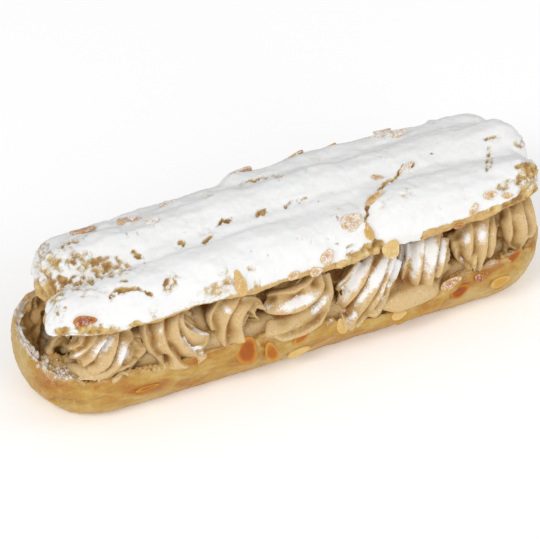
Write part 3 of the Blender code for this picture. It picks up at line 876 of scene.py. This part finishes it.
# A fold's section: (towards the fold before in shares of its width, outwards in shares of its
# height), from its sharp crest down the long flank, under it and up the steep flank
FOLD_SECTION = (
    (0, 0), (0.08, -0.02), (0.22, -0.1), (0.4, -0.3), (0.56, -0.58), (0.7, -0.92), (0.8, -1.3),
    (0.75, -2.8), (-0.3, -2.8), (-0.29, -1.3), (-0.19, -0.95), (-0.1, -0.5), (-0.04, -0.1),
)
FOLD_HEIGHT = 0.64  # of its width
LOWEST_FOLD, HIGHEST_FOLD = 1.0 * MM, 3.1 * MM
DEEP_FOLD = 8.5 * MM  # how deep a fold reaches into the rope
NARROWEST_FOLD, WIDEST_FOLD = 1.5 * MM, 8 * MM
WIDEST_SLANT = 1.5  # the most that a fold is wider than it shows in the view
TIP_LENGTH = 3.2 * MM  # over which a fold ends in a round tip
TIP_SINK = 1.1  # how deep in mm the end of that tip lies in the rope
TIP_BEYOND = 2  # how far past its last place in the view the tip reaches


def ray_through(across, down):
    """The direction from the camera through a place in the view."""
    aim = -BACK + RIGHT * (across - VIEW_SIZE / 2) / FOCAL - UP * (down - VIEW_SIZE / 2) / FOCAL
    return aim.normalized()


def skin_tree(obj):
    """The skin of a piece, on which spots can be found."""
    return BVHTree.FromObject(obj, bpy.context.evaluated_depsgraph_get())


def middle_of(obj):
    """The middle of a piece's box."""
    return sum((Vector(c) for c in obj.bound_box), Vector()) / 8


def spot_in_view(tree, across, down, middle):
    """The place and normal of the skin that shows at a place in the view, or nearest to it."""
    aim = ray_through(across, down)
    place, normal, _, _ = tree.ray_cast(CAMERA_AT, aim)
    if place is None:
        beside = CAMERA_AT + aim * (middle - CAMERA_AT).dot(aim)
        place, normal, _, _ = tree.find_nearest(beside)
        place = place.lerp(beside, 0.85)
    return place, normal


rim_tree = skin_tree(base)
RIM_FOLD, RIM_RELIEF = 1.7 * MM, 1.4 * MM  # how far a fold stands off the rim, and its own height


def spot_on_rope(tree, across, down, middle):
    """A spot on the rope or, where the rim of the bun shows in front of it, just off that rim."""
    spot, normal = spot_in_view(tree, across, down, middle)
    rim, rim_normal, _, distance = rim_tree.ray_cast(CAMERA_AT, ray_through(across, down))
    if rim is not None and distance < (spot - CAMERA_AT).length:
        return rim + BACK * RIM_FOLD, rim_normal.lerp(BACK, 0.5).normalized(), 1
    return spot, normal, 0


def smooth_line(rows, steps):
    """More rows between the given ones, on a smooth curve through them."""
    rows = np.array(rows, dtype=float)
    padded = np.vstack((2 * rows[0] - rows[1], rows, 2 * rows[-1] - rows[-2]))
    places = np.linspace(0, len(rows) - 1, steps * (len(rows) - 1) + 1)
    span = np.minimum(places.astype(int), len(rows) - 2)
    t = (places - span)[:, None]
    a, b, c, d = (padded[span + k] for k in range(4))
    return 0.5 * (2 * b + (c - a) * t + (2 * a - 5 * b + 4 * c - d) * t**2 + (3 * b - a - 3 * c + d) * t**3)


def lengths_one(rows):
    """Each row as a direction of length 1."""
    return rows / np.linalg.norm(rows, axis=1)[:, None]


def piped_fold(name, tree, middle, width, before, crest):
    """One fold on a rope: a long flank that climbs to a sharp crest, and a steep flank beyond it."""
    rows = []
    last, before_last = np.array(crest[-1]), np.array(crest[-2])
    beyond = last + TIP_BEYOND * (last - before_last) / np.linalg.norm(last - before_last)
    for place in (*crest, beyond):
        spot, normal, on_rim = spot_on_rope(tree, *place, middle)
        rows.append((*spot, *normal, on_rim))
    rows = smooth_line(rows, 6)
    spots, normals, on_rim = rows[:, :3], rows[:, 3:6], np.clip(rows[:, 6], 0, 1)
    out = lengths_one(normals)
    ahead = np.gradient(spots, axis=0)
    ahead -= (ahead @ np.array(BACK))[:, None] * np.array(BACK)
    beside = lengths_one(np.cross(ahead, out))
    if width:
        wide = np.full(len(rows), width * MM)
    else:
        gaps = np.linalg.norm(spots[:, None] - before[None], axis=2)
        wide = gaps.min(axis=1)
        towards = before[gaps.argmin(axis=1)] - spots
        towards -= (towards * out).sum(axis=1)[:, None] * out
        beside = lengths_one(0.3 * beside + 0.7 * lengths_one(towards))
        seen, seen_before = np.array(in_view(spots)).T, np.array(in_view(before)).T
        seen_gap = PIXEL * np.linalg.norm(seen[:, None] - seen_before[None], axis=2).min(axis=1)
        wide = np.minimum(wide, WIDEST_SLANT * seen_gap)
    wide = np.clip(wide, NARROWEST_FOLD, WIDEST_FOLD)
    to_end = np.minimum(np.linalg.norm(spots - spots[-1], axis=1) / TIP_LENGTH, 1)
    tip = np.sqrt(1 - (1 - to_end) ** 2)
    high = np.clip(FOLD_HEIGHT * wide, LOWEST_FOLD, HIGHEST_FOLD) * (0.5 + 0.5 * tip)
    high = high * (1 - on_rim) + np.minimum(high, RIM_RELIEF) * on_rim
    wide = wide * (0.65 + 0.35 * tip)
    section = np.array(FOLD_SECTION)
    rings = (
        (spots - out * (1 - tip[:, None]) * TIP_SINK * MM)[:, None]
        + wide[:, None, None] * section[:, 0, None] * beside[:, None]
        + np.maximum(high[:, None] * section[:, 1], -DEEP_FOLD)[:, :, None] * out[:, None]
    )
    around = len(section)
    first, last = range(around), range((len(rings) - 1) * around, len(rings) * around)
    faces = [tuple(first), tuple(reversed(last))]
    for i in range(len(rings) - 1):
        for j in range(around):
            k = (j + 1) % around
            faces.append((i * around + j, (i + 1) * around + j, (i + 1) * around + k, i * around + k))
    mesh = bpy.data.meshes.new(name)
    mesh.from_pydata(rings.reshape(-1, 3).tolist(), [], faces)
    return new_piece(name, mesh), spots


def hollows(obj, rounds):
    """How far each point lies below the skin around it, or less than 0 where it stands above."""
    points, normals = skin_of(obj)
    ends = np.empty(2 * len(obj.data.edges), dtype=np.int32)
    obj.data.edges.foreach_get("vertices", ends)
    one, other = ends.reshape(-1, 2).T
    near, far = np.concatenate((one, other)), np.concatenate((other, one))
    neighbours = np.bincount(near, minlength=len(points))
    smooth = points
    for _ in range(rounds):
        sums = [np.bincount(near, axis[far], len(points)) for axis in smooth.T]
        smooth = np.stack(sums, axis=1) / neighbours[:, None]
    return ((smooth - points) * normals).sum(axis=1)


def cream_look(name):
    """Cream with painted shade and a painted highlight: browner the deeper it lies in a hollow and paler on
    crests, with fine specks of nut and with sugar on it.
    """
    material, tree, shader = shader_of(name)
    place = add(tree, "TexCoord").outputs["Object"]
    depth = scaled(tree, noise(tree, place, 160, 4), 0.3, stored(tree, "hollow"))
    # painted light: pale is a painted highlight on the crests, brown a painted shade in the hollows
    pale, middle, brown = (0.64, 0.46, 0.225), (0.505, 0.34, 0.13), (0.31, 0.125, 0.022)
    tone = spread(tree, depth, From_Min=-0.55)
    smooth = ramp(tree, tone, (0.15, *pale), (0.95, *brown), (0.45, *middle))
    nutty = noise(tree, place, 1800, 3, 0.6)
    specks = spread(tree, nutty, From_Min=0.3, From_Max=0.44)
    speckled = mixed(tree, specks, (0.48, 0.27, 0.09, 1), smooth)
    dusted(tree, shader, speckled, 0.5, nutty, 1.2, 0.35, 0.1 * MM)
    set_values(shader, Subsurface_Weight=0.25, Subsurface_Radius=(1.0, 0.6, 0.3))
    set_values(shader, Subsurface_Scale=1.5 * MM, Specular_IOR_Level=0.3)
    return material


# strength, then middle, half sizes and lean of each sugared place
CREAM_SUGAR = (
    (1.0, 105, 345, 15, 8, 45),
    (0.8, 76, 357, 15, 4.5, 35),
    (0.8, 123, 355, 8, 16, -10),
    (0.5, 96, 352, 10, 8, 30),
    (1.1, 193, 345, 20, 6, -38),
    (1.1, 200, 331, 14, 4, -18),
    (0.5, 160, 330, 3, 8, 0),
    (0.35, 158, 345, 4, 10, -20),
    (0.6, 227, 309, 5, 9, 35),
    (1.1, 299, 302, 27, 7.5, 22),
    (1.0, 320, 306, 18, 6, 50),
    (0.4, 268, 306, 8, 4, 0),
    (0.8, 343, 284, 13, 7, 45),
    (1.2, 358, 274, 32, 9, 60),
    (0.8, 341, 303, 16, 6, 52),
    (1.2, 378, 275, 30, 8, 63),
    (0.9, 362, 298, 18, 6, 57),
    (0.6, 354, 314, 14, 5, 50),
    (1.2, 396, 266, 11, 20, -15),
    (0.7, 386, 290, 6, 20, -25),
    (1.2, 412, 246, 18, 18, 0),
    (1.2, 416, 258, 8, 24, 0),
    (0.9, 413, 278, 7, 18, 0),
    (1.2, 431, 252, 10, 24, 5),
    (0.8, 429, 274, 8, 20, 5),
    (1.0, 443, 252, 6, 18, 0),
    (1.0, 460, 262, 4, 6, -25),
    (0.7, 466, 241, 6, 16, -5),
    (0.75, 482, 235, 8, 13, 0),
    (0.3, 453, 268, 14, 8, 20),
)
cream = cream_look("praline")
HOLLOW_DEPTH = 0.8 * MM  # from where a hollow gets the darkest painted shade
HOLLOW_ROUNDS = 60

# Cream that was smeared on the rim or fills a gap: its line in the view, its radius in mm, and how
# far in mm it stands towards the camera
SMEARS = (
    (((384, 306), (398, 303), (412, 298), (428, 291), (444, 280), (456, 271)), 3.2, 0),
    (((447, 268), (456, 266), (464, 262)), 2.6, 0),
    (((72, 366), (83, 372), (96, 375), (110, 373), (122, 367)), 1.9, 0),
    (((186, 304), (193, 313), (198, 322), (203, 330), (207, 338)), 3.4, 0),
    (((54, 346), (62, 342), (72, 340)), 1.8, 1.0),
    (((52, 353), (60, 350), (72, 348)), 2.3, 1.2),
)
# A rope in mm that fills the front of the hollow behind the swirls, and its radii
FILL_LINE = (
    (-71, -2.5, 12), (-64, -9, 12.5), (-54, -12, 14), (-40, -14.6, 14), (0, -15, 14),
    (22, -15, 11), (44, -14.5, 13), (64, -12, 16),
)
FILL_RADII = (2.6, 3.6, 4.4, 4.4, 4.4, 4.4, 4.4, 3)

# the bed of cream in the hollow, which has also spread over the front rim
bed = pastry_from("praline_cream", "cream_bed", BED_VOXELS[0], 10)
points, normals = skin_of(bed)
under_smear = oval(in_view(points), 95, 362, 46, 28, 0) * facing(normals)
behind_folds = facing(normals) * step(12 * MM, 15 * MM, points[:, 2])
sunk = 0.9 + 0.9 * behind_folds + 1.3 * under_smear
reshape(bed, points - normals * sunk[:, None] * MM)
smears = []
for line, radius, forward in SMEARS:
    tree = skin_tree(bed)
    shift = (Vector((0, 1.5, -0.5)) + BACK * forward) * MM
    line = [spot_on_rope(tree, *place, middle_of(bed))[0] + shift for place in line]
    ends = [0.5] + [1] * (len(line) - 2) + [0.5]
    smears.append(piped("smear", line, [radius * e for e in ends]))
fill_line = [Vector(p) * MM + ROPE_SHIFT for p in FILL_LINE]
smears.append(piped("front_fill", fill_line, FILL_RADII))
bed = joined([bed, *smears], "cream_bed")
worked(bed, "REMESH", mode="VOXEL", voxel_size=BED_VOXELS[1])
worked(bed, "SMOOTH", factor=0.5, iterations=6)

swirls = [bed]
for index, (sizes, folds) in enumerate(zip(ROPES, SWIRLS)):
    x_top, x_foot, radius, reach, foot = (size * MM for size in sizes)
    line = rope_line(x_top, x_foot, radius, reach, foot)
    smooth_rope = piped("smooth_rope", line, [radius / MM * SMOOTH_SHARE * t for t in ROPE_TAPER])
    tree = skin_tree(smooth_rope)
    middle = line[1]
    core = [radius / MM * t for t in CORE_TAPER]
    parts = [piped("star_rope", line, core, section=star, turn=0.5)]
    before = None
    for number, (width, *crest) in enumerate(folds):
        fold, before = piped_fold(f"fold_{number}", tree, middle, width, before, crest)
        parts.append(fold)
    bpy.data.objects.remove(smooth_rope)
    swirl = joined(parts, f"cream_swirl_{index + 1}")
    worked(swirl, "REMESH", mode="VOXEL", voxel_size=CREAM_VOXEL)
    worked(swirl, "SMOOTH", factor=0.5, iterations=2)
    swirls.append(swirl)

bpy.data.objects.remove(star)
for swirl in swirls:
    points, normals = skin_of(swirl)
    view = in_view(points)
    ragged_view = frayed(view, points, 1.3, 2 * MM, 33)
    caught = step(-0.35, 0.45, normals[:, 2]) * facing(normals)
    sugar = np.minimum(1.6 * ovals(ragged_view, CREAM_SUGAR, 1.0), 1.2) * caught
    if swirl is bed:
        sugar *= step(400, 390, view[0]) * step(20 * MM, 24 * MM, points[:, 2])
    store(swirl, "sugar", sugar - 0.25 + 0.22 * caught)
    torn = oval(view, 98, 370, 30, 14, 0) * facing(normals)
    relief = 0.07 * MM * rough(points, 1.6 * MM, 31) + 0.12 * MM * step(0.4, 0.9, sugar)
    relief += 0.5 * MM * torn * rough(points, 2.2 * MM, 35)
    points += normals * relief[:, None]
    points[:, 1] = np.maximum(points[:, 1], CREAM_FRONT)
    reshape(swirl, points)
    # painted shade: how deep each point lies in a hollow, which the material paints browner, and paler
    # where it stands out
    store(swirl, "hollow", np.clip(hollows(swirl, HOLLOW_ROUNDS) / HOLLOW_DEPTH, -1, 1))
    finished(swirl, cream)
    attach(swirl, "root")
    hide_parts("praline_cream")

# ---------------------------------------------------------------- almond flakes
# Flaked almonds, thin slices that stuck to the crust before baking. Each has a pale rim and a face
# toasted from cream to red-brown; sugar hides some of those on the lid.

bpy.ops.mesh.primitive_cylinder_add(vertices=26, radius=1, depth=1, end_fill_type="NGON")
flake_form = bpy.context.object
flake_form.name = "flake_form"
bpy.ops.object.mode_set(mode="EDIT")
bpy.ops.mesh.select_mode(type="FACE")
bpy.ops.mesh.select_all(action="DESELECT")
bpy.ops.object.mode_set(mode="OBJECT")
for face in flake_form.data.polygons:
    face.select = abs(face.normal.z) > 0.9
bpy.ops.object.mode_set(mode="EDIT")
bpy.ops.mesh.inset(thickness=0.07, depth=0.08)
bpy.ops.mesh.inset(thickness=0.13, depth=0.0)
bpy.ops.mesh.inset(thickness=0.25, depth=-0.04)
bpy.ops.mesh.inset(thickness=0.3, depth=0.0)
bpy.ops.mesh.poke()
bpy.ops.object.mode_set(mode="OBJECT")
FLAKE_POINTS, _ = skin_of(flake_form)
FLAKE_THICKNESS = 0.7 * MM
FLAKE_CURL, FLAKE_LIFT = 0.25, 0.15  # in mm
NO_SUGAR = -0.3


def flake(name, spot, normal, lean, half_long, half_wide, toast, sugar):
    """One slice, pointed at one end and slightly curled, lying on the skin at a spot."""
    obj = new_piece(name, flake_form.data.copy())
    x, y, z = FLAKE_POINTS.T
    wide = half_wide * (1 - 0.28 * x + 0.05 * np.sin(5 * x + half_long * 900))
    up = z * FLAKE_THICKNESS + FLAKE_CURL * MM * (x * x - 0.4 * y * y)
    shaped = np.stack([x * half_long, y * wide, up], axis=1)
    turn = math.radians(lean)
    along = RIGHT * math.cos(turn) + UP * math.sin(turn)
    along = (along - normal * along.dot(normal)).normalized()
    beside = normal.cross(along)
    axes = np.array((along, beside, normal))
    reshape(obj, shaped @ axes + np.array(spot + normal * FLAKE_LIFT * MM))
    face = 1.05 - 0.5 * step(0.5, 0.9, np.hypot(x, y))
    store(obj, "toast", np.clip(toast * face, 0, 1))
    store(obj, "sugar", np.full(len(x), sugar or NO_SUGAR))
    return obj


def almond_look(name):
    """A slice of almond, toasted from cream to red-brown, with sugar on it."""
    material, tree, shader = shader_of(name)
    place = add(tree, "TexCoord").outputs["Object"]
    cloudy = noise(tree, place, 450, 3)
    off = add(tree, "Math", {"operation": "SUBTRACT"}, i0=cloudy, i1=0.5).outputs[0]
    tone = scaled(tree, off, 0.3, stored(tree, "toast"))
    raw, dark = (0.0, 0.68, 0.48, 0.18), (1.0, 0.26, 0.045, 0.005)
    face = ramp(tree, tone, raw, dark, (0.3, 0.55, 0.29, 0.05), (0.6, 0.43, 0.13, 0.01))
    tree.links.new(mixed(tree, sugar_grain(tree), face, SUGAR), shader.inputs["Base Color"])
    embossed(tree, shader, cloudy, 0.3, 0.1 * MM)
    set_values(shader, Roughness=0.45, Specular_IOR_Level=0.3, Subsurface_Weight=0.1)
    set_values(shader, Subsurface_Radius=(1.0, 0.5, 0.2), Subsurface_Scale=1 * MM)
    return material


almond = almond_look("toasted_almond")

# Across, down, half length, half width in mm, lean in degrees, toast, sugar, and for some that
# stand off the crust how far in mm
BASE_FLAKES = (
    (247.5, 350, 4.2, 2.9, 80, 0.75, 0.0),
    (256, 333, 2.4, 1.3, 15, 0.25, 0.0, 1.0),
    (271, 351, 3.4, 1.9, 112, 0.6, 0.0),
    (301, 338, 2.6, 1.0, 32, 0.6, 0.0),
    (298.5, 351, 3.4, 1.4, 24, 0.05, 0.0),
    (341.5, 326, 2.2, 1.5, 105, 0.08, 0.0),
    (399, 315, 2.4, 1.2, 22, 0.05, 0.0),
    (451, 283, 3.5, 1.3, 30, 0.5, 0.3),
    (459.5, 290.5, 3.2, 1.8, 38, 0.85, 0.0),
    (479.5, 278, 1.5, 1.2, 0, 0.9, 0.1),
    (500, 281, 3.2, 1.4, 22, 0.3, 0.0),
    (513, 257.5, 3.4, 1.1, 42, 0.75, 0.0, 0.8),
    (147, 387.5, 3.6, 0.55, 14, 0.6, 0.0),
)
LID_FLAKES = (
    (85, 321, 3.4, 1.5, 4, 0.9, 0.1),
    (240, 283, 3.8, 1.6, 108, 0.15, 0.05, 0.7),
    (278, 285, 1.8, 1.3, 20, 0.35, 0.4),
    (294, 275, 1.9, 1.1, 35, 0.25, 0.3),
    (316, 271, 1.9, 1.5, 30, 0.3, 0.4),
    (327.5, 257, 2.5, 1.8, 65, 0.38, 0.42),
    (341, 263, 1.8, 0.9, 10, 0.05, 0.1),
    (351.5, 222, 3.4, 2.5, 35, 0.3, 0.45),
    (368, 231, 3.0, 1.3, 115, 0.2, 0.1),
    (391.5, 249, 2.8, 2.4, 60, 0.05, 0.1, 2.6),
    (377, 178, 1.8, 0.9, 5, 0.45, 0.4),
    (374.5, 198, 3.4, 1.0, 52, 0.3, 0.2),
    (406, 168, 2.8, 1.0, 45, 0.4, 0.6),
    (490, 195, 2.0, 1.2, 20, 0.3, 0.42),
    (508, 195.5, 1.6, 0.9, 5, 0.25, 0.35),
    (474, 209, 2.0, 1.1, 70, 0.25, 0.3),
    (386.5, 136.5, 6.2, 1.6, 12, 0.45, 0.6),
    (129, 221, 2.2, 1.2, 25, 0.3, 0.7),
    (152, 221, 1.9, 1.2, 15, 0.3, 0.75),
    (459, 225, 1.6, 0.9, 10, 0.7, 0.1),
)
BACK_SPACING = 14 * MM
BACK_LENGTH = 135 * MM


def back_spots(tree, height, lowest, highest, sugar, seed):
    """Seeded flakes along the back of one half of the bun, between two angles above level."""
    chance = random.Random(seed)
    placed = []
    count = int(BACK_LENGTH / BACK_SPACING)
    for i in range(count):
        x = (i + 0.5 - count / 2) * BACK_SPACING + chance.uniform(-3, 3) * MM
        angle = math.radians(chance.uniform(lowest, highest))
        out = Vector((0, math.cos(angle), math.sin(angle)))
        long = chance.uniform(2.4, 4.2)
        wide = long * chance.uniform(0.45, 0.65)
        lean, toast = chance.uniform(0, 180), chance.uniform(0.1, 0.8)
        spot, normal, _, _ = tree.ray_cast(Vector((x, 0, height)) + out * 0.05, -out)
        placed.append((spot, normal, lean, long * MM, wide * MM, toast, sugar * chance.uniform(0.5, 1.0)))
    return placed


for carrier, flakes, name, node, slot, back in (
    (base, BASE_FLAKES, "base_flakes", "choux_base", "baked_choux", (12 * MM, -20, 15, 0.0, 6)),
    (lid, LID_FLAKES, "lid_flakes", "choux_lid", "sugared_choux", (31 * MM, 15, 60, 0.6, 5)),
):
    tree = skin_tree(carrier)
    middle = middle_of(carrier)
    placed = []
    for across, down, long, wide, lean, toast, sugar, *out in flakes:
        spot, normal = spot_in_view(tree, across, down, middle)
        normal = normal.lerp(BACK, 0.85 if out else 0.3).normalized()
        spot = spot + BACK * (out[0] if out else 0) * MM
        placed.append((spot, normal, lean, long * MM, wide * MM, toast, sugar))
    placed += back_spots(tree, *back)
    slices = joined([flake(f"{name}_{i}", *sizes) for i, sizes in enumerate(placed)], name)
    worked(slices, "SUBSURF", levels=1, render_levels=1)
    finished(slices, almond)
    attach(slices, "root")
    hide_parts(node)
bpy.data.objects.remove(flake_form)

# ---------------------------------------------------------------- crumbs
# Small crumbs of choux that came off where the bun was cut open. They stuck to the torn rim of the
# bottom half, and sugar fell on those at the left end.

CRUMB_SIZES = 0.25, 0.75  # half, in mm
SUGARED_CRUMBS = 76  # across; those further left are sugared
# Middle across and down, half spread along and beside, lean, and how many lie there
CRUMB_HEAPS = (
    (157, 367, 22, 2.5, 12, 38),
    (84, 380.5, 6, 3.5, 20, 22),
    (66, 374, 14, 5, -35, 24),
    (48, 364, 12, 6, -40, 20),
    (218, 343, 14, 2.5, 15, 26),
    (266, 335, 12, 2, 10, 10),
    (468, 272, 14, 3, 32, 26),
    (330, 321, 12, 2.5, 25, 8),
    (500, 256, 14, 3, 30, 12),
)

bpy.ops.mesh.primitive_uv_sphere_add(segments=7, ring_count=5, radius=1)
crumb_form = bpy.context.object
crumb_form.name = "crumb_form"
CRUMB_POINTS, _ = skin_of(crumb_form)
chance = random.Random(8)
tree = skin_tree(base)
middle = middle_of(base)
crumbs = []
for middle_x, middle_y, spread_along, spread_beside, lean, count in CRUMB_HEAPS:
    turn = math.radians(lean)
    for _ in range(count):
        along, beside = chance.gauss(0, 0.5) * spread_along, chance.gauss(0, 0.5) * spread_beside
        across = middle_x + along * math.cos(turn) + beside * math.sin(turn)
        down = middle_y - along * math.sin(turn) + beside * math.cos(turn)
        spot, _ = spot_in_view(tree, across, down, middle)
        sizes = chance.uniform(*CRUMB_SIZES) * MM * np.array([chance.uniform(0.7, 1.4) for _ in range(3)])
        dents = 1 + 0.4 * rough(CRUMB_POINTS + 7 * len(crumbs), 0.9, 71)
        obj = new_piece(f"crumb_{len(crumbs)}", crumb_form.data.copy())
        reshape(obj, CRUMB_POINTS * dents[:, None] * sizes + np.array(spot))
        store(obj, "browning_and_shade", np.full(len(dents), chance.uniform(-0.3, 0.5)))
        store(obj, "crumb", np.full(len(dents), 0.5))
        store(obj, "sugar", np.full(len(dents), 0.45 if across < SUGARED_CRUMBS else 0.0))
        crumbs.append(obj)
bpy.data.objects.remove(crumb_form)
crumbs = joined(crumbs, "rim_crumbs")
finished(crumbs, golden)
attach(crumbs, "root")
